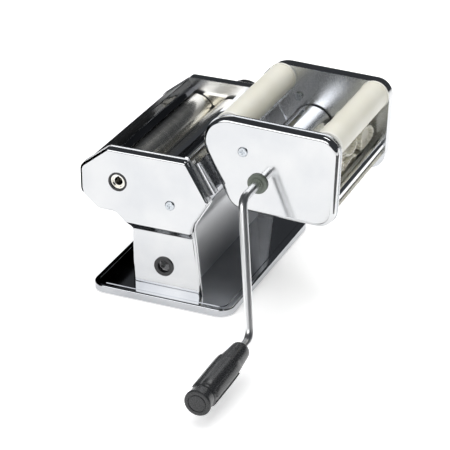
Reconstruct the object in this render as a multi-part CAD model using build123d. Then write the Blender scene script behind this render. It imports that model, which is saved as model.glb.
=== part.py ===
from build123d import *
import os
from math import acos, cos, hypot, pi, radians, sin, tan

# A hand-cranked pasta roller machine with a two-drum filling attachment hung on its front.
# Millimetres, +Z up. X runs from the back of the machine to the attachment, Y along the rollers,
# with the crank on the -Y side. The origin is the centre of the base, on the table.

# ---- driving sizes ----------------------------------------------------------------------------

# base
base_length = 206.0
base_width = 141.0
base_height = 8.0
base_sheet = 1.0
base_corner = 15.0
base_rim = 5.0
base_edge_lift = 0.8
foot_radius = 8.0
foot_inset = 17.0

# side walls of the machine
wall_gap = 170.0
plate_thickness = 1.5
plate_overhang = 0.6
cover_depth = 7.9
gear_cover_depth = 12.2
cover_sheet = 0.8
cover_round = 2.6
leg_recess = 4.6
recess_top = 74.5
recess_slope = 1.74
recess_blend = 3.0

# head and leg outline, seen from the crank side
roller_height = 113.0
head_above = 31.0
crown_back = -52.7
crown_front = 24.6
back_face = -80.6
back_above = 9.5
back_below = 16.0
chin_back = -63.5
chin_below = 31.2
neck_back = -46.0
leg_back = -31.2
leg_back_top = 68.0
leg_front_top = 29.0
leg_front_turn = 78.0
leg_front_foot = 36.9
nose_reach = 46.4
nose_below = 6.2

# smooth rollers and their drive
roller_radius = 18.3
roller_length = 161.0
roller_a_x = -42.3
roller_gap = 0.5
gap_travel = 2.8
journal_radius = 7.0
bush_wall = 2.0
running_clearance = 0.05
roller_teeth = 18
roller_gear_width = 4.0
socket_depth = 30.0
socket_mouth = 5.6
socket_ring_wall = 1.7
free_clearance = 0.35

# gap selector
knob_radius = 22.0
knob_depth = 27.0
selector_back = 3.0
selector_up = 4.0
knob_lift = 2.0
spindle_radius = 5.0
spindle_disc = 13.0
knob_ribs = 24
dial_radius = 15.0
detent_radius = 1.3
detent_seat = 4.0
dial_height = 1.5
dial_floor = 0.5

# table clamp hole
clamp_x = 0.3
clamp_height = 33.6
clamp_bore = 6.0
clamp_tube_wall = 2.0
clamp_flange = 9.5
clamp_length = 20.0

# attachment frame
unit_gap = 126.0
unit_cover_depth = 8.7
unit_gear_cover_depth = 15.5
unit_cover_round = 4.0
unit_tilt = 2.0
hub_along = -24.35
hub_out = 43.34
unit_top = 55.8
unit_bottom = -30.4
unit_front = 72.1
unit_back_top = -71.0
unit_back_bottom = -24.2
unit_rivet_x = -15.4
unit_rivet_z = 27.4

# attachment insides
drum_radius = 21.3
mould_radius = 20.4
drum_clearance = 0.6
mould_angle = 10.0
drum_teeth = 20
drum_gear_width = 4.0
drum_end_clearance = 2.0
drum_shaft = 6.0
guide_radius = 13.4
guide_wall = 2.2
guide_rise = 43.5
back_guide_x = -33.0
front_guide_x = 58.3
cheek_width = 2.5
cheek_lip = 0.6
tie_rod_radius = 4.3
tie_rod_inset = 5.0
tie_rod_rise = 25.3
back_rod_radius = 3.0
back_rod_clearance = 3.0
back_rod_angle = 222.3
hub_flange = 9.4
hub_stand = 2.6

# hooks and rails
hook_sheet = 1.5
hook_length = 30.0
hook_reach = 19.0
rail_sheet = 1.5
rail_depth = 8.0
rail_play = 0.6

# crank
crank_rod = 4.0
crank_bend = 12.0
crank_stand = 35.0
crank_drop = 113.55
crank_lean = 11.6
crank_flare = 18.3
crank_insert = 16.0
key_width = 1.4
key_height = 1.3
grip_start = 20.4
grip_length = 81.6
grip_neck = 8.35
grip_radius = 12.23
grip_grooves = 8
grip_cap_length = 11.65

# small hardware
screw_head = 4.6
screw_head_height = 1.5
screw_shank = 2.0
cross_slot = 0.9
nut_radius = 4.2
nut_height = 2.4

# ---- places worked out from the sizes ---------------------------------------------------------

wall = wall_gap / 2
cover_back = wall + plate_thickness
cover_face = cover_back + cover_depth
far_face = cover_back + gear_cover_depth
leg_face = cover_face - leg_recess
head_top = roller_height + head_above
roller_b_x = roller_a_x + 2 * roller_radius + roller_gap
gap_middle = roller_b_x + gap_travel / 2
selector = (gap_middle - selector_back, roller_height + selector_up)
near_screw = (roller_b_x + 14.5, roller_height - 13.7)
far_screw = (back_face + 15.0, roller_height - 16.0)
nose = (nose_reach, roller_height - nose_below)
crown = (crown_front, head_top)
chamfer_length = hypot(crown[0] - nose[0], crown[1] - nose[1])
chamfer_half = chamfer_length / 2
chamfer_up = ((crown[0] - nose[0]) / chamfer_length, (crown[1] - nose[1]) / chamfer_length)
chamfer_out = (chamfer_up[1], -chamfer_up[0])


def on_chamfer(along, outward):
    """A place in x and z, measured from the middle of the front chamfer, up it and square out of it."""
    return ((crown[0] + nose[0]) / 2 + chamfer_up[0] * along + chamfer_out[0] * outward,
            (crown[1] + nose[1]) / 2 + chamfer_up[1] * along + chamfer_out[1] * outward)


hub_x, hub_height = on_chamfer(hub_along, hub_out)
unit_wall = unit_gap / 2
unit_cover_back = unit_wall + plate_thickness
unit_cover_face = unit_cover_back + unit_cover_depth
unit_far_face = unit_cover_back + unit_gear_cover_depth
drum_distance = drum_radius + mould_radius + drum_clearance
mould_place = (hub_x + drum_distance * cos(radians(mould_angle)),
               hub_height + drum_distance * sin(radians(mould_angle)))
hub_tube = drum_shaft + running_clearance + bush_wall
crank_y = -(unit_cover_face + crank_stand)
grip_x = hub_x + crank_drop * tan(radians(crank_lean))
grip_y = crank_y - crank_drop * tan(radians(crank_flare))
grip_z = hub_height - crank_drop


# ---- shape helpers ----------------------------------------------------------------------------

def slab(outline, low, high):
    """A flat outline drawn in x and z, made solid between two y values."""
    side_view = Plane(origin=(0, high, 0), x_dir=(1, 0, 0), z_dir=(0, -1, 0))
    return extrude(side_view * outline, high - low, dir=(0, -1, 0))


def rod(x, z, radius, low, high):
    """A round bar along Y."""
    return slab(Pos(x, z) * Circle(radius), low, high)


def tube(x, z, outer, inner, low, high):
    """A round tube along Y."""
    return slab(Pos(x, z) * (Circle(outer) - Circle(inner)), low, high)


def rounded(corners, radii):
    """A closed outline whose corners are rounded, one radius for each corner."""
    shape = make_face(Polyline(*corners, close=True))
    for corner, radius in zip(corners, radii):
        if radius > 0:
            near = shape.vertices().sort_by(lambda v: hypot(v.X - corner[0], v.Y - corner[1]))
            shape = fillet(near[0], radius)
    return shape


def sheet(points, radius, thickness, low, high):
    """A bent strip of sheet metal along Y; the metal lies to the left of its path in x and z."""
    path = FilletPolyline(*points, radius=radius) if len(points) > 2 else Line(*points)
    strip = make_face(offset(path, thickness, side=Side.LEFT))
    return slab(strip, low, high)


def other_side(shape):
    """The same piece on the far wall."""
    return mirror(shape, about=Plane.XZ)


def gear(teeth, pitch_radius, phase, backlash=0.25, pressure=20.0, steps=4):
    """A spur gear outline with involute flanks, one tooth centred on the phase angle."""
    module = 2 * pitch_radius / teeth
    base_radius = pitch_radius * cos(radians(pressure))
    tip_radius = pitch_radius + 0.9 * module
    root_radius = pitch_radius - 1.2 * module
    pressure_roll = tan(radians(pressure)) - radians(pressure)
    half_tooth = pi / (2 * teeth) - backlash / (2 * pitch_radius)
    start = max(base_radius, root_radius)
    flank = []
    for step in range(steps + 1):
        radius = start + (tip_radius - start) * step / steps
        roll = acos(base_radius / radius)
        flank.append((radius, half_tooth + pressure_roll - (tan(roll) - roll)))
    flank.insert(0, (root_radius, flank[0][1]))
    points = []
    for tooth in range(teeth):
        centre = radians(phase) + 2 * pi * tooth / teeth
        for radius, spread in flank:
            points.append((radius * cos(centre - spread), radius * sin(centre - spread)))
        for radius, spread in reversed(flank):
            points.append((radius * cos(centre + spread), radius * sin(centre + spread)))
    return make_face(Polyline(*points, close=True))


def screw(x, z, seat, inward, length):
    """A domed cross-head screw along Y; inward is +1 or -1, the way its shank points."""
    tip = seat + inward * length
    head_end = seat - inward * screw_head_height
    head = rod(x, z, screw_head, min(seat, head_end), max(seat, head_end))
    rim = head.edges().filter_by(GeomType.CIRCLE).sort_by(lambda e: abs(e.center().Y - head_end))
    head = fillet(rim[0], screw_head_height * 0.7)
    shank = rod(x, z, screw_shank, min(seat, tip), max(seat, tip))
    slots = Rectangle(screw_head, cross_slot) + Rectangle(cross_slot, screw_head)
    cut = slab(Pos(x, z) * slots, head_end - 0.8, head_end + 0.8)
    return head + shank - cut


def key_outline(radius, width, height, tilt=0.0):
    """A round bore or rod end with one key standing out of it."""
    bar = Pos((radius + height) / 2, 0) * Rectangle(radius + height, width)
    return Circle(radius) + Rot(0, 0, tilt) * bar


# ---- outlines ---------------------------------------------------------------------------------

def machine_outline():
    corners = [
        (crown_back, head_top),
        (back_face, roller_height + back_above),
        (back_face, roller_height - back_below),
        (chin_back, roller_height - chin_below),
        (neck_back, roller_height - chin_below),
        (leg_back, leg_back_top),
        (leg_back, base_height),
        (leg_front_foot, base_height),
        (leg_front_top, leg_front_turn),
        nose,
        crown,
    ]
    return rounded(corners, [6, 8, 8, 8, 9, 9, 0, 0, 24, 5, 5])


def unit_outline():
    """The attachment's side outline about its hub, before the tilt."""
    corners = [
        (unit_back_top, unit_top),
        (unit_back_bottom, unit_bottom),
        (unit_front, unit_bottom),
        (unit_front, unit_top),
    ]
    return rounded(corners, [25, 18, 16, 16])


def in_unit(x, z):
    """A place given about the hub before the tilt, as x and z in the whole machine."""
    turn = radians(-unit_tilt)
    return (hub_x + x * cos(turn) - z * sin(turn), hub_height + x * sin(turn) + z * cos(turn))


def place_unit(outline):
    return Pos(hub_x, hub_height) * Rot(0, 0, -unit_tilt) * outline


# ---- machine frame ----------------------------------------------------------------------------

def base_plate():
    top = base_height
    inner_top = top - base_sheet
    outer = extrude(Pos(0, 0, base_edge_lift) * RectangleRounded(base_width, base_length, base_corner),
                    top - base_edge_lift)
    outer = fillet(outer.faces().sort_by(Axis.Z)[-1].edges(), 2.0)
    inner = extrude(RectangleRounded(base_width - 2 * base_sheet, base_length - 2 * base_sheet,
                                     base_corner - base_sheet), inner_top)
    groove = RectangleRounded(base_width - 2 * base_rim, base_length - 2 * base_rim,
                              base_corner - base_rim)
    groove -= offset(groove, -1.6)
    return outer - inner - extrude(Pos(0, 0, top - 0.5) * groove, 1)


def rubber_feet():
    feet = []
    for x in (-1, 1):
        for y in (-1, 1):
            place = Pos(x * (base_width / 2 - foot_inset), y * (base_length / 2 - foot_inset), 0)
            foot = extrude(Circle(foot_radius), base_height - base_sheet)
            foot = chamfer(foot.edges().group_by(Axis.Z)[0], 1.0)
            feet.append(place * foot)
    return feet


def pressed_side(depth, inset):
    """A side cover of the near side as a full block, drawn in by the sheet when inset is set."""
    outline = machine_outline()
    if inset:
        outline = offset(outline, -inset)
    face = cover_back + depth - inset
    block = slab(outline, -face, -cover_back)
    step = cover_back + depth - leg_face
    recess_bottom = recess_top - recess_slope * step
    profile = Polyline((-face - 5, recess_top), (-face, recess_top), (-face + step, recess_bottom),
                       (-face + step, base_height - 5), (-face - 5, base_height - 5), close=True)
    cutter = extrude(Plane.YZ.offset(-150) * make_face(profile), 300, dir=(1, 0, 0))
    bends = [e for e in cutter.edges().filter_by(Axis.X)
             if abs(e.center().Z - recess_top) < 0.1 and abs(e.center().Y + face) < 0.1
             or abs(e.center().Z - recess_bottom) < 0.1]
    block -= fillet(bends, recess_blend)
    rim = [e for e in block.edges()
           if e.center().Y < -cover_back - 0.5
           and abs(e.tangent_at(0.5).Y) < 0.999
           and not (abs(e.tangent_at(0.5).X) > 0.999 and e.center().Z < recess_top + 5)]
    return fillet(rim, cover_round - inset)


def side_cover(depth):
    return pressed_side(depth, 0) - pressed_side(depth, cover_sheet)


def clamp_opening(low, high):
    return rod(clamp_x, clamp_height, clamp_bore + clamp_tube_wall, low, high)


def near_cover():
    ring_hole = journal_radius + free_clearance + socket_ring_wall
    cover = side_cover(cover_depth) - rod(*near_screw, screw_shank, -cover_face - 1, -cover_back)
    cover -= clamp_opening(-cover_face - 1, -cover_back)
    return cover - rod(roller_a_x, roller_height, ring_hole, -cover_face - 1, -cover_back)


def far_cover():
    cover = other_side(side_cover(gear_cover_depth))
    cover -= rod(*far_screw, screw_shank, cover_back, far_face + 1)
    return cover - rod(*selector, spindle_radius + free_clearance, cover_back, far_face + 1)


def side_plate(screw_place):
    outline = offset(machine_outline(), plate_overhang)
    keep = Pos(0, base_height + 100) * Rectangle(400, 200)
    plate = slab(outline & keep, -cover_back, -wall)
    plate -= rod(roller_a_x, roller_height, journal_radius + bush_wall, -cover_back, -wall)
    slot_height = 2 * (journal_radius + bush_wall + running_clearance)
    slot = SlotOverall(slot_height + gap_travel + 2 * free_clearance, slot_height)
    plate -= slab(Pos(gap_middle, roller_height) * slot, -cover_back, -wall)
    return plate - rod(*screw_place, screw_shank, -cover_back, -wall)


def near_plate():
    return side_plate(near_screw) - clamp_opening(-cover_back, -wall)


def clamp_sleeve():
    flange = tube(clamp_x, clamp_height, clamp_flange, clamp_bore, -leg_face - 1.2, -leg_face)
    body = tube(clamp_x, clamp_height, clamp_bore + clamp_tube_wall, clamp_bore,
                -leg_face, -leg_face + clamp_length)
    return flange + body


def clamp_bracket():
    """A steel saddle behind the leg that carries the clamp's pull to the base."""
    back = -leg_face + clamp_length
    reach = clamp_bore + clamp_tube_wall + 6
    upright = slab(Pos(clamp_x, (base_height + clamp_height + reach) / 2)
                   * Rectangle(2 * reach, clamp_height + reach - base_height), back - 2, back)
    foot = Pos(clamp_x, back + 7, base_height + 1) * Box(2 * reach, 14, 2)
    return upright + foot - clamp_opening(back - 3, back + 1)


def base_screws():
    screws = []
    for x in (clamp_x - 9, clamp_x + 9):
        head = Pos(x, -leg_face + clamp_length + 8, base_height + 2) * Cylinder(
            3, 1.6, align=(Align.CENTER, Align.CENTER, Align.MIN))
        screws.append(head)
    return screws


def roller_bushes():
    bush = tube(roller_a_x, roller_height, journal_radius + bush_wall,
                journal_radius + running_clearance, -cover_back, -wall + 1.5)
    return [bush, other_side(bush)]


def socket_ring():
    inner = journal_radius + free_clearance
    return tube(roller_a_x, roller_height, inner + socket_ring_wall, inner,
                -cover_face - 0.6, -cover_back - 2)


def cover_screws():
    beyond = plate_thickness - 0.3
    return [screw(*near_screw, -cover_face, 1, cover_depth + beyond),
            screw(*far_screw, far_face, -1, gear_cover_depth + beyond)]


def tie_rods():
    places = [(back_face + 14.5, roller_height - 4), (gap_middle + 27.5, roller_height - 2),
              (leg_back + 14, roller_height - 55), (leg_back + 9, base_height + 12)]
    return [rod(x, z, 3.0, -wall, wall) for x, z in places]


# ---- sheets between the walls -----------------------------------------------------------------

def hopper_rear():
    lip = roller_radius + 1.0
    low = (roller_a_x + lip * cos(radians(100)), roller_height + lip * sin(radians(100)))
    middle = (low[0] - 5.0, low[1] + 3.2)
    return sheet([(crown_back + 0.2, head_top - 0.6), middle, low], 6, 0.8, -wall, wall)


def hopper_front():
    lip = roller_radius + 1.2
    low = (gap_middle + lip * cos(radians(88)), roller_height + lip * sin(radians(88)))
    high = (crown_front - 4.0, head_top - 2.0)
    return sheet([high, (low[0] + 6, low[1] + 1.0), low], 10, 0.8, -wall, wall)


def hopper_bead():
    return rod(crown_front - 2.6, head_top - 0.4, 1.9, -wall, wall)


def chamfer_block(along_low, along_high, out_low, out_high, low, high):
    corners = [on_chamfer(along_low, out_low), on_chamfer(along_low, out_high),
               on_chamfer(along_high, out_high), on_chamfer(along_high, out_low)]
    return slab(make_face(Polyline(*corners, close=True)), low, high)


rail_stand = 0.3
hook_out = rail_stand + rail_sheet + rail_play


def front_cap():
    """The satin strip over the top of the chamfer."""
    half = wall - rail_depth - 0.5
    return chamfer_block(chamfer_half - 13.5, chamfer_half - 3.5, -1.0, 0.0, -half, half)


def front_apron():
    top = (nose[0] - 1.6, nose[1] - 1.0)
    turn = (leg_front_top - 2.5, leg_front_turn)
    foot = (leg_front_foot - 16.0, base_height)
    return sheet([foot, turn, top], 28, 1.0, -wall, wall)


def rear_cover():
    inset = 1.2
    points = [(crown_back - 3.0, head_top - 3.4), (back_face + inset, roller_height + back_above),
              (back_face + inset, roller_height - back_below + 1),
              (chin_back + 1.5, roller_height - chin_below + inset)]
    return sheet(points, 6, 1.0, -wall, wall)


def scrapers():
    """Two thin blades that lift the dough off the underside of each roller."""
    blades = []
    for x, angle, lean in ((roller_a_x, 272, -1), (roller_b_x, 268, 1)):
        lip = roller_radius + 0.5
        tip = (x + lip * cos(radians(angle)), roller_height + lip * sin(radians(angle)))
        root = (tip[0] + lean * 12, tip[1] - 7)
        ends = [root, tip] if lean > 0 else [tip, root]
        blades.append(sheet(ends, 0, 0.7, -wall, wall))
    return blades


def nip_guards():
    """Cheeks that fill the valley between the rollers' ends and the walls."""
    valley = roller_gap + 2 * roller_radius
    middle = roller_a_x + valley / 2
    top = roller_height + roller_radius
    corners = [(middle - 12, top), (middle + 12, top), (middle + 3, top - 10), (middle - 3, top - 10)]
    near = slab(make_face(Polyline(*corners, close=True)), -wall, -roller_length / 2 - 1.0)
    return [near, other_side(near)]


# ---- accessory rails --------------------------------------------------------------------------

def rail():
    """A C channel on the inside of the wall that the attachment's hook drops into."""
    low = -hook_length / 2 - rail_sheet
    high = hook_length / 2
    slot_low = rail_stand + rail_sheet
    slot_high = slot_low + hook_sheet + 2 * rail_play
    inside = -wall + rail_depth
    web = chamfer_block(low, high, -4.0, slot_high + rail_sheet, -wall, -wall + rail_sheet)
    inner = chamfer_block(low, high, rail_stand, slot_low, -wall, inside)
    outer = chamfer_block(low, high, slot_high, slot_high + rail_sheet, -wall, inside)
    stop = chamfer_block(low, low + rail_sheet, rail_stand, slot_high + rail_sheet, -wall, inside)
    return web + inner + outer + stop


def hook():
    """A bent strap on the attachment's wall; its tongue stands in the rail."""
    half = hook_length / 2
    tongue = chamfer_block(-half, half, hook_out, hook_out + hook_sheet,
                           -wall + rail_sheet + 1.0, -unit_wall + hook_sheet)
    web = chamfer_block(-half, half, hook_out, hook_out + hook_reach, -unit_wall, -unit_wall + hook_sheet)
    return tongue + web


# ---- rollers ----------------------------------------------------------------------------------

def roller_body(x):
    half = roller_length / 2
    body = rod(x, roller_height, roller_radius, -half, half)
    return chamfer(body.edges().filter_by(GeomType.CIRCLE), 0.6)


def roller_a():
    near_end = -cover_face + 0.6
    body = roller_body(roller_a_x) + rod(roller_a_x, roller_height, journal_radius,
                                         near_end, cover_back + 1.0)
    body += rod(roller_a_x, roller_height, 4.0, cover_back, cover_back + 1.0 + roller_gear_width)
    bore = Pos(roller_a_x, roller_height) * key_outline(crank_rod + running_clearance,
                                                        key_width + 0.4, key_height + 0.3, 90)
    body -= slab(bore, near_end - 1, near_end + socket_depth)
    return body - rod(roller_a_x, roller_height, socket_mouth, near_end - 1, near_end + 1.5)


def roller_b():
    body = roller_body(roller_b_x) + rod(roller_b_x, roller_height, journal_radius,
                                         -cover_back, cover_back + 1.0)
    return body + rod(roller_b_x, roller_height, 4.0, cover_back, cover_back + 1.0 + roller_gear_width)


gear_start = cover_back + 1.0


def roller_gear(x, phase):
    pitch = (roller_b_x - roller_a_x) / 2
    outline = Pos(x, roller_height) * (gear(roller_teeth, pitch, phase) - Circle(4.0))
    return slab(outline, gear_start, gear_start + roller_gear_width)


def gap_block():
    """A sliding bearing block for the adjustable roller, in the slot of the side plate."""
    return tube(roller_b_x, roller_height, journal_radius + bush_wall, journal_radius + running_clearance,
                -cover_back, -wall)


# ---- gap selector -----------------------------------------------------------------------------

def selector_spindle():
    disc_low = gear_start + roller_gear_width + 0.5
    disc = rod(*selector, spindle_disc, disc_low, disc_low + 1.0)
    return disc + rod(*selector, spindle_radius, disc_low, far_face + knob_depth - 6)


def setting_dial():
    """A fixed ring on the far cover: a round track with ten deeper seats for the knob's pin."""
    top = far_face + dial_height
    half_track = detent_radius + free_clearance
    ring = tube(*selector, knob_radius - 1.0, spindle_radius + 5.0, far_face, top)
    ring -= tube(*selector, dial_radius + half_track, dial_radius - half_track,
                 far_face + dial_floor, top)
    for place in range(10):
        angle = radians(place * 30)
        ring -= rod(selector[0] + dial_radius * cos(angle), selector[1] + dial_radius * sin(angle),
                    detent_radius, far_face + dial_floor / 2, top)
    return ring


def detent_pin():
    start = far_face + dial_floor + free_clearance
    return rod(selector[0] + dial_radius, selector[1], detent_radius,
               start, far_face + knob_lift + detent_seat)


def selector_knob():
    low = far_face + knob_lift
    high = far_face + knob_depth
    body = rod(*selector, knob_radius, low, high)
    body = fillet(body.edges().filter_by(GeomType.CIRCLE).sort_by(Axis.Y)[-1], 2.0)
    bore = spindle_radius + running_clearance
    body -= rod(*selector, bore, low - 1, high - 3)
    body -= tube(*selector, spindle_radius + 5, bore - 0.1, low - 1, high - 8)
    body -= rod(selector[0] + dial_radius, selector[1], detent_radius, low - 1, low + detent_seat)
    for rib in range(knob_ribs):
        angle = 2 * pi * rib / knob_ribs
        body -= rod(selector[0] + (knob_radius + 0.6) * cos(angle),
                    selector[1] + (knob_radius + 0.6) * sin(angle), 1.7, low - 1, high - 4)
    return body


def knob_spring():
    """The spring that holds the knob against the dial, as a plain sleeve."""
    return tube(*selector, spindle_radius + 3.0, spindle_radius + 1.2,
                far_face + 1.0 + knob_lift, far_face + knob_depth - 8)


# ---- attachment -------------------------------------------------------------------------------

def unit_cover(depth):
    outline = place_unit(unit_outline())
    face = unit_cover_back + depth
    outer = slab(outline, -face, -unit_cover_back)
    outer = fillet(outer.faces().sort_by(Axis.Y)[0].edges(), unit_cover_round)
    inner = slab(offset(outline, -cover_sheet), -face + cover_sheet, -unit_cover_back)
    inner = fillet(inner.faces().sort_by(Axis.Y)[0].edges(), unit_cover_round - cover_sheet)
    return outer - inner - rod(*in_unit(unit_rivet_x, unit_rivet_z), screw_shank,
                               -face - 1, -unit_cover_back)


def unit_near_cover():
    cover = unit_cover(unit_cover_depth)
    return cover - rod(hub_x, hub_height, hub_tube, -unit_cover_face - 1, -unit_cover_back)


def unit_plate():
    outline = offset(place_unit(unit_outline()), plate_overhang)
    plate = slab(outline, -unit_cover_back, -unit_wall)
    plate -= rod(*in_unit(unit_rivet_x, unit_rivet_z), screw_shank, -unit_cover_back, -unit_wall)
    plate -= rod(hub_x, hub_height, hub_tube, -unit_cover_back, -unit_wall)
    return plate - rod(*mould_place, hub_tube, -unit_cover_back, -unit_wall)


def unit_screws():
    place = in_unit(unit_rivet_x, unit_rivet_z)
    beyond = plate_thickness + nut_height + 0.6
    return [screw(*place, -unit_cover_face, 1, unit_cover_depth + beyond),
            screw(*place, unit_far_face, -1, unit_gear_cover_depth + beyond)]


def unit_nuts():
    place = in_unit(unit_rivet_x, unit_rivet_z)
    outline = Pos(*place) * (RegularPolygon(nut_radius, 6) - Circle(screw_shank))
    near = slab(outline, -unit_wall, -unit_wall + nut_height)
    return [near, other_side(near)]


def hub_bush():
    inner = drum_shaft + running_clearance
    flange = tube(hub_x, hub_height, hub_flange, inner, -unit_cover_face - hub_stand, -unit_cover_face)
    flange = fillet(flange.edges().filter_by(GeomType.CIRCLE).group_by(Axis.Y)[0].sort_by(
        lambda e: -e.radius)[0], 1.0)
    return flange + tube(hub_x, hub_height, hub_tube, inner, -unit_cover_face, -unit_wall)


def plain_bushes():
    """Bushes for the drum's far end and for both ends of the mould drum."""
    inner = drum_shaft + running_clearance
    drum_far = tube(hub_x, hub_height, hub_tube, inner, unit_wall, unit_cover_back)
    mould_near = tube(*mould_place, hub_tube, inner, -unit_cover_back, -unit_wall)
    return [drum_far, mould_near, other_side(mould_near)]


def drum():
    half = unit_wall - drum_end_clearance
    body = rod(hub_x, hub_height, drum_radius, -half, half)
    body = chamfer(body.edges().filter_by(GeomType.CIRCLE), 0.6)
    near_end = -(unit_cover_face + hub_stand - 0.4)
    body += rod(hub_x, hub_height, drum_shaft, near_end, unit_cover_back + 1.0)
    body += rod(hub_x, hub_height, 4.0, unit_cover_back, unit_cover_back + 1.0 + drum_gear_width)
    bore = Pos(hub_x, hub_height) * key_outline(crank_rod + running_clearance, key_width + 0.3,
                                                key_height + 0.2, 90)
    return body - slab(bore, near_end - 1, near_end + crank_insert + 3)


def drum_gear(place, phase):
    outline = Pos(*place) * (gear(drum_teeth, drum_distance / 2, phase) - Circle(4.0))
    low = unit_cover_back + 1.0
    return slab(outline, low, low + drum_gear_width)


def mould_drum():
    half = unit_wall - drum_end_clearance
    body = rod(*mould_place, mould_radius, -half, half)
    body = chamfer(body.edges().filter_by(GeomType.CIRCLE), 0.6)
    pocket_length = (2 * half - 16) / 3
    for row in range(3):
        y = -half + 8 + pocket_length * (row + 0.5)
        for turn in range(8):
            angle = 45.0 * turn + 22.5
            pocket = Pos(mould_place[0], y, mould_place[1]) * Rot(0, -angle, 0) * Pos(
                mould_radius, 0, 0) * Box(7.0, pocket_length - 3.5, 11.5)
            body -= pocket
    body += rod(*mould_place, drum_shaft, -unit_cover_back, unit_cover_back + 1.0)
    return body + rod(*mould_place, 4.0, unit_cover_back, unit_cover_back + 1.0 + drum_gear_width)


def guide(x):
    place = in_unit(x, guide_rise)
    half = unit_wall - cheek_width
    return tube(*place, guide_radius, guide_radius - guide_wall, -half, half)


def guide_cheeks():
    cheeks = []
    for x in (back_guide_x, front_guide_x):
        cheek = rod(*in_unit(x, guide_rise), guide_radius + cheek_lip, -unit_wall, -unit_wall + cheek_width)
        cheeks += [cheek, other_side(cheek)]
    return cheeks


def unit_tie_rod():
    place = in_unit(unit_front - tie_rod_inset, unit_bottom + tie_rod_rise)
    return rod(*place, tie_rod_radius, -unit_wall, unit_wall)


def back_tie_rods():
    reach = drum_radius + back_rod_radius + back_rod_clearance
    turn = radians(back_rod_angle)
    places = [(reach * cos(turn), reach * sin(turn)), (back_guide_x, guide_rise - 20)]
    return [rod(*in_unit(x, z), back_rod_radius, -unit_wall, unit_wall) for x, z in places]


def lower_strip():
    """The cream lip under the mould drum that the filled pieces slide over."""
    rise = unit_bottom + tie_rod_rise - tie_rod_radius - 3
    points = [in_unit(unit_front - 3, rise), in_unit(unit_front - 14, rise - 7),
              in_unit(unit_front - 34, rise - 9)]
    return sheet(points, 20, 2.5, -unit_wall, unit_wall)


def stripper():
    """A thin blade across the mould drum that frees the filled pieces."""
    lip = mould_radius + 0.6
    tip = (mould_place[0] + lip * cos(radians(262)), mould_place[1] + lip * sin(radians(262)))
    return sheet([(tip[0] + 12, tip[1] - 5), tip], 0, 0.8, -unit_wall, unit_wall)


# ---- crank ------------------------------------------------------------------------------------

def crank():
    start = -(unit_cover_face + hub_stand - 0.4) + crank_insert
    path = FilletPolyline((hub_x, start, hub_height), (hub_x, crank_y, hub_height),
                          (grip_x, grip_y, grip_z),
                          (grip_x, grip_y - grip_start - grip_length, grip_z), radius=crank_bend)
    section = Plane(origin=(hub_x, start, hub_height), x_dir=(1, 0, 0), z_dir=(0, -1, 0)) * Circle(crank_rod)
    body = sweep(section, path=path)
    key = Pos(hub_x, hub_height) * Rot(0, 0, 90) * Pos(crank_rod + key_height / 2 - 0.5, 0) * Rectangle(
        key_height + 1, key_width)
    return body + slab(key, start - 12, start)


def grip():
    low = grip_y - grip_start - grip_length
    high = grip_y - grip_start
    bore = crank_rod + running_clearance
    middle = (low + high) / 2
    side = [(bore, high), (grip_neck - 2.5, high), (grip_neck, high - 2.5), (grip_neck, high - 12),
            (grip_radius, high - 30), (grip_radius - 0.6, middle), (grip_radius, low + 4),
            (grip_radius - 1.5, low), (bore, low)]
    face = make_face(Plane.XY * Polyline(*side, close=True))
    body = Pos(grip_x, 0, grip_z) * revolve(face, Axis.Y)
    for groove in range(grip_grooves):
        angle = 2 * pi * (groove + 0.5) / grip_grooves
        body -= rod(grip_x + (grip_radius + 0.8) * cos(angle), grip_z + (grip_radius + 0.8) * sin(angle),
                    2.2, low + 8, high - 26)
    return body


def grip_cap():
    high = grip_y - grip_start - grip_length
    low = high - grip_cap_length
    cap = rod(grip_x, grip_z, grip_radius - 0.4, low, high)
    cap = fillet(cap.edges().filter_by(GeomType.CIRCLE).sort_by(Axis.Y)[0], 2.0)
    cap -= tube(grip_x, grip_z, grip_radius - 4.4, grip_radius - 5.2, low - 1, low + 0.8)
    return cap - rod(grip_x, grip_z, 7.0, high - 4, high + 1)


def grip_clip():
    """The washer riveted on the crank's end, which keeps the grip on."""
    end = grip_y - grip_start - grip_length
    return rod(grip_x, grip_z, 6.0, end - 2.0, end - 0.5) + rod(grip_x, grip_z, crank_rod, end - 0.5, end)


# ---- write every piece ------------------------------------------------------------------------

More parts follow.
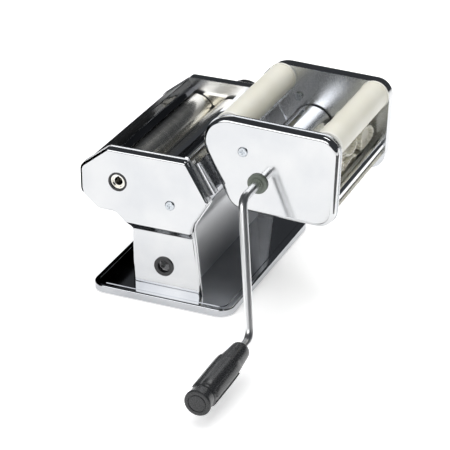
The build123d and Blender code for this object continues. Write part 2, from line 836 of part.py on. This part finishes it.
pieces = {
    "base_plate": base_plate(),
    "rubber_feet": rubber_feet(),
    "side_cover_near": near_cover(),
    "side_cover_far": far_cover(),
    "side_plate_near": near_plate(),
    "side_plate_far": other_side(side_plate(far_screw)),
    "clamp_sleeve": clamp_sleeve(),
    "clamp_bracket": clamp_bracket(),
    "base_screws": base_screws(),
    "roller_bushes": roller_bushes(),
    "socket_ring": socket_ring(),
    "cover_screws": cover_screws(),
    "frame_tie_rods": tie_rods(),
    "hopper_rear": hopper_rear(),
    "hopper_front": hopper_front(),
    "hopper_bead": hopper_bead(),
    "front_cap": front_cap(),
    "front_apron": front_apron(),
    "rear_cover": rear_cover(),
    "dough_scrapers": scrapers(),
    "nip_guards": nip_guards(),
    "rail_near": rail(),
    "rail_far": other_side(rail()),
    "roller_drive": roller_a(),
    "roller_gear_drive": roller_gear(roller_a_x, 0),
    "roller_adjustable": roller_b(),
    "roller_gear_adjustable": roller_gear(roller_b_x, 180 + 180 / roller_teeth),
    "gap_block_near": gap_block(),
    "gap_block_far": other_side(gap_block()),
    "selector_spindle": selector_spindle(),
    "setting_dial": setting_dial(),
    "selector_knob": selector_knob(),
    "detent_pin": detent_pin(),
    "knob_spring": knob_spring(),
    "unit_cover_near": unit_near_cover(),
    "unit_cover_far": other_side(unit_cover(unit_gear_cover_depth)),
    "unit_plate_near": unit_plate(),
    "unit_plate_far": other_side(unit_plate()),
    "unit_screws": unit_screws(),
    "unit_nuts": unit_nuts(),
    "hub_bush": hub_bush(),
    "unit_bushes": plain_bushes(),
    "guide_roll_back": guide(back_guide_x),
    "guide_roll_front": guide(front_guide_x),
    "guide_cheeks": guide_cheeks(),
    "unit_tie_rod": unit_tie_rod(),
    "unit_back_rods": back_tie_rods(),
    "lower_strip": lower_strip(),
    "stripper_blade": stripper(),
    "hook_near": hook(),
    "hook_far": other_side(hook()),
    "drive_drum": drum(),
    "drum_gear": drum_gear((hub_x, hub_height), mould_angle),
    "mould_drum": mould_drum(),
    "mould_gear": drum_gear(mould_place, 180 + mould_angle + 180 / drum_teeth),
    "crank_rod": crank(),
    "crank_grip": grip(),
    "grip_cap": grip_cap(),
    "grip_clip": grip_clip(),
}

os.makedirs("parts", exist_ok=True)
for name, piece in pieces.items():
    if isinstance(piece, list):
        piece = Compound(children=[part.solid() for part in piece])
    export_step(piece, f"parts/{name}.step")
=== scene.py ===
# %% [markdown]
# # A hand-cranked pasta roller with a two-drum attachment
# The engineering model is loaded first and stays where it is. Everything after that gives the
# steel, alloy and plastic pieces their finish, replaces the plain grip, cap, mould drum and knob
# with fully shaped ones, and sets up a small studio around the machine.

import math

import bpy
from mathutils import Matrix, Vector


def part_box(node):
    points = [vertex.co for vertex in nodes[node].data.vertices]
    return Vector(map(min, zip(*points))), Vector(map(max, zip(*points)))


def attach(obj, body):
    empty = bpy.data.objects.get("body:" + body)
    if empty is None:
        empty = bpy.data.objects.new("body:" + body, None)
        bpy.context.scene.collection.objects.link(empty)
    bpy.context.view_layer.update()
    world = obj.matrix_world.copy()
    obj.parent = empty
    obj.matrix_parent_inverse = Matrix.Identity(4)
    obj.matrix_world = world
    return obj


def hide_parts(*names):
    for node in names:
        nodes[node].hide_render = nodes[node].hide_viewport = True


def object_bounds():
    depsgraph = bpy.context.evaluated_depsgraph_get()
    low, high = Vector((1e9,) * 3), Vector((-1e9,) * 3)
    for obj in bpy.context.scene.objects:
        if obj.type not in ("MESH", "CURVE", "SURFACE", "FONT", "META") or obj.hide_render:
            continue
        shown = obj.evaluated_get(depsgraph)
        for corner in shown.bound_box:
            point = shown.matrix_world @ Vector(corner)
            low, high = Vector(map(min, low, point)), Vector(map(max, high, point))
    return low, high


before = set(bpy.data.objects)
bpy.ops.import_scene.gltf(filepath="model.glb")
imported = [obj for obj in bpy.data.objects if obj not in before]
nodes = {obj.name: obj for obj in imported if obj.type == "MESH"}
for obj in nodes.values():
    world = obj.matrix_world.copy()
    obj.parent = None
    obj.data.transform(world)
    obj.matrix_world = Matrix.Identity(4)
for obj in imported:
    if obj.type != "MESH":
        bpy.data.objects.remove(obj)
cad_low, cad_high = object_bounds()
mm = 0.001
print("nodes", len(nodes), "size", [round(v, 4) for v in cad_high - cad_low])

# %% [markdown]
# ## Small helpers
# An operator works on everything that is selected, and the frame arrives selected, so each
# modelling step starts by clearing the selection. Faces are then picked in code, by their place.


# %% Helpers
def clear_selection():
    if bpy.context.mode != "OBJECT":
        bpy.ops.object.mode_set(mode="OBJECT")
    bpy.ops.object.select_all(action="DESELECT")


def corners(node):
    low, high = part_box(node)
    return Vector(low), Vector(high)


def dress(material, *names):
    """Give whole CAD pieces one material."""
    for name in names:
        slots = nodes[name].data.materials
        slots.clear()
        slots.append(material)


def pick_faces(piece, wanted):
    """Select, in edit mode, the faces whose centre passes a test."""
    bpy.ops.object.mode_set(mode="EDIT")
    bpy.ops.mesh.select_mode(type="FACE")
    bpy.ops.mesh.select_all(action="DESELECT")
    bpy.ops.object.mode_set(mode="OBJECT")
    for face in piece.data.polygons:
        face.select = wanted(face)
    bpy.ops.object.mode_set(mode="EDIT")


def soften(piece, width, segments=2, angle=30):
    """Round the sharp edges with a bevel modifier and shade the rest smooth."""
    clear_selection()
    piece.select_set(True)
    bpy.context.view_layer.objects.active = piece
    bevel = piece.modifiers.new("edge_round", "BEVEL")
    bevel.width = width
    bevel.segments = segments
    bevel.limit_method = "ANGLE"
    bevel.angle_limit = math.radians(angle)
    bpy.ops.object.modifier_apply(modifier=bevel.name)
    bpy.ops.object.shade_smooth_by_angle(angle=math.radians(35))


def settle(piece, name, material):
    """Put the piece's place into its mesh, name it and give it its finish."""
    clear_selection()
    piece.select_set(True)
    bpy.context.view_layer.objects.active = piece
    bpy.ops.object.transform_apply(location=True, rotation=True, scale=True)
    piece.name = name
    piece.data.materials.clear()
    piece.data.materials.append(material)
    print(name, len(piece.data.polygons), "faces")


def outward(piece):
    """Merge doubles and point every face out."""
    clear_selection()
    piece.select_set(True)
    bpy.context.view_layer.objects.active = piece
    bpy.ops.object.mode_set(mode="EDIT")
    bpy.ops.mesh.select_all(action="SELECT")
    bpy.ops.mesh.remove_doubles(threshold=0.000005)
    bpy.ops.mesh.normals_make_consistent(inside=False)
    bpy.ops.object.mode_set(mode="OBJECT")


# %% [markdown]
# ## Finishes
# Every finish is one shader with a few texture nodes in front of it. The nodes read Object
# coordinates, so a pattern stays on its piece when the piece moves.


# %% Shader building blocks
def new_finish(name, color, metallic, roughness):
    material = bpy.data.materials.new(name)
    material.use_nodes = True
    shader = material.node_tree.nodes["Principled BSDF"]
    shader.inputs["Base Color"].default_value = (*color, 1)
    shader.inputs["Metallic"].default_value = metallic
    shader.inputs["Roughness"].default_value = roughness
    return material, shader


def add_noise(material, scale, detail, stretch=(1, 1, 1)):
    """A noise texture on Object coordinates, stretched along chosen axes."""
    tree = material.node_tree
    place = tree.nodes.new("ShaderNodeTexCoord")
    mapping = tree.nodes.new("ShaderNodeMapping")
    mapping.inputs["Scale"].default_value = stretch
    noise = tree.nodes.new("ShaderNodeTexNoise")
    noise.inputs["Scale"].default_value = scale
    noise.inputs["Detail"].default_value = detail
    tree.links.new(place.outputs["Object"], mapping.inputs["Vector"])
    tree.links.new(mapping.outputs["Vector"], noise.inputs["Vector"])
    return noise


def value_between(material, source, low, high):
    """Turn a texture into a value between two limits."""
    tree = material.node_tree
    remap = tree.nodes.new("ShaderNodeMapRange")
    remap.inputs["From Min"].default_value = 0.3
    remap.inputs["From Max"].default_value = 0.7
    remap.inputs["To Min"].default_value = low
    remap.inputs["To Max"].default_value = high
    tree.links.new(source.outputs["Fac"], remap.inputs["Value"])
    return remap.outputs["Result"]


def tint_between(material, source, dark, light):
    """Turn a texture into a colour between two tints."""
    tree = material.node_tree
    ramp = tree.nodes.new("ShaderNodeValToRGB")
    ramp.color_ramp.elements[0].position = 0.35
    ramp.color_ramp.elements[1].position = 0.65
    ramp.color_ramp.elements[0].color = (*dark, 1)
    ramp.color_ramp.elements[1].color = (*light, 1)
    tree.links.new(source.outputs["Fac"], ramp.inputs["Fac"])
    return ramp.outputs["Color"]


def add_bump(material, shader, source, strength, depth):
    tree = material.node_tree
    bump = tree.nodes.new("ShaderNodeBump")
    bump.inputs["Strength"].default_value = strength
    bump.inputs["Distance"].default_value = depth
    tree.links.new(source.outputs["Fac"], bump.inputs["Height"])
    tree.links.new(bump.outputs["Normal"], shader.inputs["Normal"])


def connect(material, socket, target):
    material.node_tree.links.new(socket, target)


# %% [markdown]
# ### Polished stainless steel
# Pressed covers are buffed to a mirror. What tells steel from glass is a trace of haze that comes
# and goes, a faint change of tone, and a very slight waviness left by the press.


# %% Polished steel
def polished_steel(name, dark, light, haze_low, haze_high, wave):
    material, shader = new_finish(name, light, 1.0, haze_low)
    cloud = add_noise(material, 22, 4)
    connect(material, tint_between(material, cloud, dark, light), shader.inputs["Base Color"])
    connect(material, value_between(material, cloud, haze_low, haze_high), shader.inputs["Roughness"])
    ripple = add_noise(material, 16, 1)
    add_bump(material, shader, ripple, wave, 0.0004)
    return material


cover_steel = polished_steel("cover_steel", (0.56, 0.57, 0.585), (0.62, 0.625, 0.63), 0.07, 0.12, 0.05)
dress(cover_steel, "side_cover_near", "side_cover_far", "unit_cover_near", "unit_cover_far")
mirror_steel = polished_steel("mirror_steel", (0.74, 0.75, 0.77), (0.80, 0.81, 0.82), 0.03, 0.07, 0.06)
dress(mirror_steel, "hopper_front", "hopper_bead", "unit_tie_rod", "unit_back_rods")
# The base is stainless steel, but this copy is darker than the others. That is partly painted shade, so
# the base's lip reads grey against the bright floor.
base_steel_painted_shade = polished_steel("base_steel_painted_shade", (0.46, 0.47, 0.49), (0.54, 0.55, 0.57), 0.04, 0.09, 0.06)
dress(base_steel_painted_shade, "base_plate")
rod_steel = polished_steel("rod_steel", (0.84, 0.85, 0.86), (0.90, 0.905, 0.91), 0.28, 0.34, 0.03)
dress(rod_steel, "crank_rod")
# The rear hopper plate gets a much darker copy of the polished steel: painted shade and painted dark
# reflection inside the hopper.
painted_shade_steel = polished_steel("painted_shade_steel", (0.10, 0.105, 0.115), (0.15, 0.155, 0.165), 0.06, 0.12, 0.05)
dress(painted_shade_steel, "hopper_rear")
print("polished steel on", sum(1 for n in nodes.values() if mirror_steel.name in n.data.materials))

# %% [markdown]
# ### Rolled sheet, turned alloy and plating
# Plain sheet keeps the rolling mill's grain, a roller keeps the rings of the lathe, and the drum
# is plated so bright that only a faint ring pattern is left.


# %% Sheet and turned metal
def grained_metal(name, dark, light, rough_low, rough_high, stretch, depth, grain_scale=60):
    material, shader = new_finish(name, light, 1.0, rough_low)
    grain = add_noise(material, grain_scale, 4, stretch)
    connect(material, tint_between(material, grain, dark, light), shader.inputs["Base Color"])
    connect(material, value_between(material, grain, rough_low, rough_high), shader.inputs["Roughness"])
    add_bump(material, shader, grain, 0.25, depth)
    return material


plate_steel = grained_metal("plate_steel", (0.60, 0.62, 0.64), (0.70, 0.71, 0.73), 0.20, 0.30,
                            (1, 1, 1), 0.00004, 1400)
dress(plate_steel, "unit_plate_near", "unit_plate_far")
wall_steel = grained_metal("wall_steel", (0.80, 0.81, 0.82), (0.88, 0.88, 0.89), 0.26, 0.34,
                           (1, 1, 1), 0.00003, 1400)
dress(wall_steel, "side_plate_near", "side_plate_far")
apron_steel = grained_metal("apron_steel", (0.70, 0.71, 0.73), (0.78, 0.79, 0.80), 0.33, 0.38,
                            (1, 1, 1), 0.00002, 1400)
dress(apron_steel, "front_apron")
slate_steel = grained_metal("slate_steel", (0.33, 0.345, 0.36), (0.37, 0.385, 0.40), 0.34, 0.40,
                            (1, 1, 1), 0.00002, 1400)
dress(slate_steel, "rear_cover")
sheet_steel = grained_metal("rolled_sheet", (0.66, 0.67, 0.69), (0.76, 0.77, 0.79), 0.12, 0.26,
                            (30, 1, 1), 0.00004)
dress(sheet_steel, "clamp_bracket", "rail_near", "rail_far", "hook_near", "hook_far",
      "dough_scrapers", "stripper_blade", "frame_tie_rods", "grip_clip", "knob_spring",
      "detent_pin", "setting_dial")
turned_alloy = grained_metal("turned_alloy", (0.68, 0.66, 0.60), (0.82, 0.81, 0.77), 0.14, 0.26,
                             (1, 30, 1), 0.00003)
dress(turned_alloy, "roller_drive", "roller_adjustable", "front_cap", "nip_guards")
drum_plating = grained_metal("drum_plating", (0.82, 0.84, 0.88), (0.88, 0.89, 0.92), 0.04, 0.08,
                             (1, 12, 1), 0.00001)
dress(drum_plating, "drive_drum")
gear_steel = grained_metal("cut_gear_steel", (0.42, 0.42, 0.43), (0.55, 0.55, 0.56), 0.25, 0.4,
                           (1, 20, 1), 0.00004)
dress(gear_steel, "roller_gear_drive", "roller_gear_adjustable", "drum_gear", "mould_gear",
      "selector_spindle")
bronze = grained_metal("bearing_bronze", (0.62, 0.44, 0.25), (0.75, 0.56, 0.33), 0.25, 0.4,
                       (1, 20, 1), 0.00004)
dress(bronze, "roller_bushes", "gap_block_near", "gap_block_far", "unit_bushes")
zinc = grained_metal("zinc_plate", (0.46, 0.49, 0.52), (0.58, 0.61, 0.64), 0.20, 0.32,
                     (1, 1, 1), 0.00003, 300)
dress(zinc, "cover_screws", "base_screws", "unit_screws", "unit_nuts")

# %% [markdown]
# ### Moulded plastics and rubber
# The guide rolls are a warm ivory moulding with a soft gloss. The grip and knob are charcoal, the
# bushes a greenish grey, the feet plain black rubber.


# %% Plastics
def moulding(name, dark, light, rough_low, rough_high, grain, depth):
    material, shader = new_finish(name, light, 0.0, rough_low)
    cloud = add_noise(material, 18, 2)
    connect(material, tint_between(material, cloud, dark, light), shader.inputs["Base Color"])
    texture = add_noise(material, grain, 2)
    connect(material, value_between(material, texture, rough_low, rough_high), shader.inputs["Roughness"])
    add_bump(material, shader, texture, 0.2, depth)
    return material


ivory = moulding("ivory_moulding", (0.72, 0.70, 0.60), (0.79, 0.775, 0.69), 0.30, 0.42, 900, 0.00005)
ivory_shader = ivory.node_tree.nodes["Principled BSDF"]
ivory_shader.inputs["Subsurface Weight"].default_value = 0.08
ivory_shader.inputs["Subsurface Radius"].default_value = (0.002, 0.0015, 0.001)
dress(ivory, "guide_roll_back", "guide_roll_front", "lower_strip")
pale_ivory = moulding("pale_ivory", (0.80, 0.79, 0.72), (0.85, 0.84, 0.78), 0.30, 0.40, 900, 0.00004)
dress(pale_ivory, "guide_cheeks")
charcoal = moulding("charcoal_moulding", (0.016, 0.017, 0.018), (0.028, 0.029, 0.031),
                    0.22, 0.32, 1100, 0.00006)
jet = moulding("jet_moulding", (0.012, 0.012, 0.013), (0.020, 0.020, 0.022), 0.28, 0.40, 1100, 0.00005)
dress(jet, "socket_ring", "clamp_sleeve")
bush_grey = moulding("bush_grey", (0.10, 0.12, 0.10), (0.16, 0.18, 0.15), 0.35, 0.5, 800, 0.00006)
dress(bush_grey, "hub_bush")
rubber = moulding("foot_rubber", (0.015, 0.015, 0.015), (0.025, 0.025, 0.025), 0.6, 0.75, 500, 0.0001)
dress(rubber, "rubber_feet")

# %% [markdown]
# ## The grip
# The grip is a bullet of moulded plastic that turns on the crank's end. Raised panels run along
# it, so wet fingers don't slip. It is made the way a lathe would: a disc is extruded step by step
# along the axis and scaled to the profile at each step, then bands of faces are lifted.

# %% Grip places
grip_low, grip_high = corners("crank_grip")
grip_x = (grip_low.x + grip_high.x) / 2
grip_z = (grip_low.z + grip_high.z) / 2
grip_end = grip_low.y
grip_start = grip_high.y
grip_scale = (grip_start - grip_end) / (84 * mm)
print("grip from", round(grip_start, 4), "to", round(grip_end, 4))


# %% Turning a profile
def turned(profile, x, z, sides):
    """Extrude a disc along Y through the (y, radius) steps of a profile."""
    clear_selection()
    at, radius = profile[0]
    bpy.ops.mesh.primitive_circle_add(vertices=sides, radius=radius, fill_type="NGON",
                                      location=(x, at, z), rotation=(math.radians(90), 0, 0))
    piece = bpy.context.object
    bpy.ops.object.mode_set(mode="EDIT")
    bpy.ops.mesh.select_mode(type="FACE")
    bpy.ops.mesh.select_all(action="SELECT")
    for y, wide in profile[1:]:
        bpy.ops.mesh.extrude_region_move(TRANSFORM_OT_translate={"value": (0, y - at, 0)})
        bpy.ops.transform.resize(value=(wide / radius, 1, wide / radius), center_override=(x, y, z))
        at, radius = y, wide
    bpy.ops.object.mode_set(mode="OBJECT")
    bpy.ops.object.transform_apply(location=True, rotation=True, scale=True)
    outward(piece)
    return piece


def steps_from(start, direction, profile, scale=1):
    """Profile steps in millimetres from a start, as places along Y in metres."""
    unit = mm * scale
    return [(start + direction * along * unit, radius * unit) for along, radius in profile]


def open_through(piece):
    """Remove the flat disc left across a bore that runs right through."""
    pick_faces(piece, lambda face: len(face.vertices) > 4)
    bpy.ops.mesh.delete(type="FACE")
    outward(piece)


# %% Grip
grip_profile = [(84, 4.3), (0, 4.3), (0, 7.0), (0.6, 8.2), (2.2, 9.0), (8, 9.5), (16, 10.1),
                (24, 10.9), (29, 11.4), (36, 11.7), (48, 11.8), (60, 11.8), (72, 11.7),
                (80.5, 11.6), (83, 11.5), (84, 10.8), (84, 4.3)]
grip = turned(steps_from(grip_start, -1, grip_profile, grip_scale), grip_x, grip_z, 96)
open_through(grip)
panels = 6
panel_share = 0.62
panel_from = 28.5 * mm * grip_scale
panel_to = 81 * mm * grip_scale


def on_panel(face):
    """True for side faces that belong to one of the raised panels."""
    turn = math.atan2(face.center.z - grip_z, face.center.x - grip_x) / (2 * math.pi) * panels
    along = grip_start - face.center.y
    outside = math.hypot(face.center.z - grip_z, face.center.x - grip_x) > 6 * mm
    inside = (turn - math.floor(turn)) < panel_share
    return abs(face.normal.y) < 0.5 and outside and inside and panel_from < along < panel_to


pick_faces(grip, on_panel)
bpy.ops.mesh.inset(thickness=0.25 * mm, depth=1.0 * mm, use_boundary=True)
bpy.ops.object.mode_set(mode="OBJECT")
soften(grip, 0.22 * mm)
settle(grip, "moulded_grip", charcoal)
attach(grip, "grip")
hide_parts("crank_grip")

# %% [markdown]
# ## The grip's cap
# A short plug closes the grip. Its face has one round groove and its rim is rolled over, so it
# is turned from its own profile too. A recess behind it holds the washer on the crank's end.

# %% Grip cap
cap_high = corners("grip_cap")[1]
cap_profile = [(4.0, 3.0), (4.0, 7.15), (0.2, 7.15), (0.2, 10.6), (0.6, 11.3), (8.6, 11.5),
               (9.2, 12.2), (11.0, 12.2), (11.7, 11.8), (12.0, 11.0), (12.0, 8.7), (11.8, 8.4),
               (11.2, 8.3), (11.2, 7.7), (11.8, 7.6), (12.0, 7.3), (12.0, 3.0)]
cap = turned(steps_from(cap_high.y, -1, cap_profile, grip_scale), grip_x, grip_z, 96)
soften(cap, 0.12 * mm)
settle(cap, "grip_plug", charcoal)
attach(cap, "grip")
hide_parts("grip_cap")

# %% [markdown]
# ## The gap knob
# The knob on the far side sets the rollers apart. It has a round skirt that reads against the
# dial and a fluted body for the fingers. The flutes are bands of faces sunk inwards.

# %% Gap knob
knob_low, knob_high = corners("selector_knob")
knob_x = (knob_low.x + knob_high.x) / 2
knob_z = (knob_low.z + knob_high.z) / 2
knob_profile = [(22, 5.2), (17, 5.2), (17, 10.0), (0, 10.0), (0, 21.4), (0.6, 22.0), (4.6, 22.0),
                (5.4, 21.2), (5.8, 19.6), (7.0, 19.2), (21.5, 18.6), (23.6, 17.6), (24.8, 15.6),
                (25.0, 14.0), (25.0, 11.0), (24.0, 10.2), (23.6, 3.0)]
knob = turned(steps_from(knob_low.y, 1, knob_profile), knob_x, knob_z, 96)
flutes = 16


def in_flute(face):
    turn = math.atan2(face.center.z - knob_z, face.center.x - knob_x) / (2 * math.pi) * flutes
    along = face.center.y - knob_low.y
    outside = math.hypot(face.center.z - knob_z, face.center.x - knob_x) > 15 * mm
    return (turn - math.floor(turn)) < 0.6 and outside and 7 * mm < along < 21.5 * mm


pick_faces(knob, in_flute)
bpy.ops.mesh.inset(thickness=0.5 * mm, depth=-1.2 * mm, use_boundary=True)
bpy.ops.object.mode_set(mode="OBJECT")
soften(knob, 0.25 * mm)
settle(knob, "moulded_knob", charcoal)
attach(knob, "knob")
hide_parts("selector_knob")

# %% [markdown]
# ## The mould drum
# The ivory drum under the front roll carries blocks with scalloped rims, one mould for each
# filled piece. One block is modelled flat: a disc with every second point pulled out makes the
# scallops, and insets and extrusions make the rim and the pocket. Copies are then wrapped round
# the drum's core.

# %% Mould drum places
mould_low, mould_high = corners("mould_drum")
mould_gear_low, mould_gear_high = corners("mould_gear")
unit_high = corners("unit_tie_rod")[1]
mould_x = (mould_gear_low.x + mould_gear_high.x) / 2
mould_z = (mould_gear_low.z + mould_gear_high.z) / 2
mould_radius = (mould_high.x - mould_low.x) / 2
mould_half = unit_high.y - 2 * mm
shaft_radius = 6 * mm
core_radius = mould_radius - 5.2 * mm
rows = 3
around = 5
print("mould drum radius", round(mould_radius, 4), "half length", round(mould_half, 4))

# %% One scalloped block, flat
clear_selection()
row_pitch = 2 * mould_half / rows
block_long = row_pitch / 2 - 1.6 * mm
block_wide = math.pi * mould_radius / around - 1.3 * mm
scallops = 18
bpy.ops.mesh.primitive_circle_add(vertices=4 * scallops, radius=1, fill_type="NGON")
block = bpy.context.object
bpy.ops.object.mode_set(mode="EDIT")
bpy.ops.mesh.select_mode(type="VERT")
bpy.ops.mesh.select_all(action="DESELECT")
bpy.ops.object.mode_set(mode="OBJECT")
for point in block.data.vertices:
    point.select = point.index % 4 == 0
bpy.ops.object.mode_set(mode="EDIT")
bpy.ops.transform.resize(value=(0.90, 0.90, 1), center_override=(0, 0, 0))
bpy.ops.mesh.select_all(action="SELECT")
bpy.ops.transform.resize(value=(block_long, block_wide, 1), center_override=(0, 0, 0))
bpy.ops.mesh.select_mode(type="FACE")
bpy.ops.mesh.select_all(action="SELECT")
block_top = mould_radius - core_radius + 0.3 * mm
block_steps = [(block_top - 0.5 * mm, 1.0), (0.5 * mm, 0.965), (0, 0.90), (-0.4 * mm, 0.97),
               (-3.0 * mm, 0.93), (-0.6 * mm, 0.86), (0, 0.5)]
for rise, share in block_steps:
    bpy.ops.mesh.extrude_region_move(TRANSFORM_OT_translate={"value": (0, 0, rise)})
    bpy.ops.transform.resize(value=(share, share, 1), center_override=(0, 0, 0))
bpy.ops.object.mode_set(mode="OBJECT")
bpy.ops.object.transform_apply(location=True, rotation=True, scale=True)
outward(block)
soften(block, 0.15 * mm)
print("scalloped block", len(block.data.polygons), "faces")


# %% Wrap copies round the core
def wrapped(flat, along, turn):
    """A copy of the flat block bent round the drum at a place along it and an angle."""
    copy = flat.copy()
    copy.data = flat.data.copy()
    bpy.context.scene.collection.objects.link(copy)
    for point in copy.data.vertices:
        angle = turn + point.co.y / mould_radius
        reach = core_radius - 0.3 * mm + point.co.z
        point.co = (mould_x + reach * math.cos(angle), along + point.co.x,
                    mould_z + reach * math.sin(angle))
    return copy


shaft_end = mould_high.y
core_profile = [(-mould_half, shaft_radius), (-mould_half, core_radius - 0.5 * mm),
                (-mould_half + 0.5 * mm, core_radius), (mould_half - 0.5 * mm, core_radius),
                (mould_half, core_radius - 0.5 * mm), (mould_half, shaft_radius)]
core = turned([(mould_low.y, shaft_radius)] + core_profile + [(shaft_end - 5 * mm, shaft_radius)],
              mould_x, mould_z, 96)
soften(core, 0.2 * mm)
blocks = []
for row in range(rows):
    for place in range(around):
        middle = -mould_half + row_pitch * (row + 0.5)
        turn = 2 * math.pi * (place + 0.5 * (row % 2)) / around
        blocks.append(wrapped(block, middle, turn))
bpy.data.objects.remove(block)
clear_selection()
for copy in blocks:
    copy.select_set(True)
core.select_set(True)
bpy.context.view_layer.objects.active = core
bpy.ops.object.join()
outward(core)
bpy.ops.object.shade_smooth_by_angle(angle=math.radians(35))
settle(core, "scalloped_mould_drum", ivory)
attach(core, "mould")
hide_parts("mould_drum")

# %% [markdown]
# ## The crank's collar and the clamp hole's thread
# A grey collar on the crank fills the mouth of the hub. Inside the clamp sleeve a few thread
# turns show. Both are small turned rings.

# %% Collar
hub_low, hub_high = corners("hub_bush")
hub_x = (hub_low.x + hub_high.x) / 2
hub_z = (hub_low.z + hub_high.z) / 2
collar_profile = [(-0.35, 6.0), (0.9, 6.0), (1.5, 5.4), (1.5, 4.9), (3.0, 4.6), (3.4, 4.2)]
collar = turned(steps_from(hub_low.y, -1, collar_profile), hub_x, hub_z, 64)
soften(collar, 0.12 * mm)
settle(collar, "crank_collar", bush_grey)
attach(collar, "crank")

# %% Thread turns
sleeve_low, sleeve_high = corners("clamp_sleeve")
sleeve_x = (sleeve_low.x + sleeve_high.x) / 2
sleeve_z = (sleeve_low.z + sleeve_high.z) / 2
thread_pitch = 1.8 * mm
clear_selection()
thread_turns = []
for turn in range(8):
    bpy.ops.mesh.primitive_torus_add(major_radius=5.9 * mm, minor_radius=0.45 * mm,
                                     major_segments=48, minor_segments=10,
                                     location=(sleeve_x, sleeve_low.y + 5 * mm + turn * thread_pitch,
                                               sleeve_z), rotation=(math.radians(90), 0, 0))
    thread_turns.append(bpy.context.object)
clear_selection()
for ring in thread_turns:
    ring.select_set(True)
bpy.context.view_layer.objects.active = thread_turns[0]
bpy.ops.object.join()
thread = thread_turns[0]
bpy.ops.object.shade_smooth_by_angle(angle=math.radians(60))
settle(thread, "clamp_thread", gear_steel)
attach(thread, "machine")

# %% [markdown]
# ## The studio
# Polished steel shows only what stands around it. A broad pale floor fills the walls that face
# the camera, and a dark room above the floor turns the flat tops black. The overhead light is
# kept out of the mirrors, and slim soft boxes draw the lines along the rolled edges.
# The crank swings just below the base, as it does over a table's edge, so the floor is lowered
# gently beyond the base.

# %% Floor
floor_drop = 12 * mm
slope_width = 45 * mm
level_width = 6 * mm
near_half = 0.25
far_half = 6.0
corner_round = 15 * mm
base_high = corners("base_plate")[1]
clear_selection()
bpy.ops.mesh.primitive_grid_add(x_subdivisions=220, y_subdivisions=220, size=2)
floor = bpy.context.object
for point in floor.data.vertices:
    x, y = (near_half * c + (far_half - near_half) * c ** 25 for c in point.co.xy)
    beyond_x = max(abs(x) - base_high.x - level_width + corner_round, 0)
    beyond_y = max(abs(y) - base_high.y - level_width + corner_round, 0)
    beyond = max(math.hypot(beyond_x, beyond_y) - corner_round, 0)
    share = min(beyond / slope_width, 1)
    point.co = (x, y, -floor_drop * share * share * (3 - 2 * share) - 0.2 * mm)
bpy.ops.object.shade_smooth()
floor.name = "studio_floor"
floor_material, floor_shader = new_finish("pale_paper", (0.9, 0.9, 0.9), 0.0, 0.9)
floor_shader.inputs["Specular IOR Level"].default_value = 0.0
floor_shader.inputs["Emission Color"].default_value = (1, 1, 1, 1)
floor_shader.inputs["Emission Strength"].default_value = 0.42
paper = add_noise(floor_material, 40, 3)
connect(floor_material, tint_between(floor_material, paper, (0.89, 0.89, 0.89), (0.91, 0.91, 0.91)),
        floor_shader.inputs["Base Color"])
floor.data.materials.append(floor_material)


# %% Lights
def soft_box(name, location, target, width, height, power, mirrored):
    light = bpy.data.lights.new(name, "AREA")
    light.shape = "RECTANGLE"
    light.size = width
    light.size_y = height
    light.energy = power
    lamp = bpy.data.objects.new(name, light)
    lamp.location = location
    aim = Vector(target) - Vector(location)
    lamp.rotation_euler = aim.to_track_quat("-Z", "Y").to_euler()
    lamp.visible_glossy = mirrored
    bpy.context.scene.collection.objects.link(lamp)
    return lamp


centre = (cad_low + cad_high) / 2
soft_box("overhead", (0.0, 0.2, 2.5), centre, 4.0, 4.0, 95, False)
soft_box("front_box", (-0.35, -1.5, 0.85), centre, 1.6, 0.9, 11, True)
soft_box("back_box", (0.3, 1.1, 1.7), centre, 0.9, 0.4, 6, True)


def dark_card(name, x, long, height, shade):
    """A dark card beside the machine. Only mirrors see it, and it draws a dark line at their edges."""
    clear_selection()
    bpy.ops.mesh.primitive_plane_add(size=1, location=(x, 0, height / 2 - floor_drop),
                                     rotation=(0, math.radians(90), 0))
    card = bpy.context.object
    bpy.ops.transform.resize(value=(1, long, height), center_override=card.location)
    bpy.ops.object.transform_apply(location=True, rotation=True, scale=True)
    card.name = name
    black, black_shader = new_finish(name + "_paint", (shade, shade, shade), 0.0, 1.0)
    black_shader.inputs["Specular IOR Level"].default_value = 0.0
    card.data.materials.append(black)
    card.visible_camera = False
    card.visible_diffuse = False
    card.visible_shadow = False


dark_card("left_card", -0.19, 0.5, 0.2, 0.0)
dark_card("right_card", 0.36, 0.5, 0.12, 0.15)
world = bpy.data.worlds.new("dark_room")
world.use_nodes = True
world.node_tree.nodes["Background"].inputs["Color"].default_value = (0.050, 0.053, 0.058, 1)
world.node_tree.nodes["Background"].inputs["Strength"].default_value = 1.0
bpy.context.scene.world = world

# %% [markdown]
# ## The camera
# A long lens from above and to the right of the crank side, the way a catalogue shows a machine.

# %% Camera
azimuth = math.radians(23.23)
elevation = math.radians(27.10)
distance = 1.707
look_at = Vector((0.0223, 0.0, 0.0381))
back = Vector((math.sin(azimuth) * math.cos(elevation),
               -math.cos(azimuth) * math.cos(elevation), math.sin(elevation)))
camera_data = bpy.data.cameras.new("catalogue_camera")
camera_data.lens = 144
camera_data.sensor_width = 36
camera_data.clip_end = 30
camera = bpy.data.objects.new("catalogue_camera", camera_data)
camera.location = look_at + back * distance
camera.rotation_euler = (-back).to_track_quat("-Z", "Y").to_euler()
bpy.context.scene.collection.objects.link(camera)
bpy.context.scene.camera = camera
bpy.context.scene.view_settings.view_transform = "Standard"
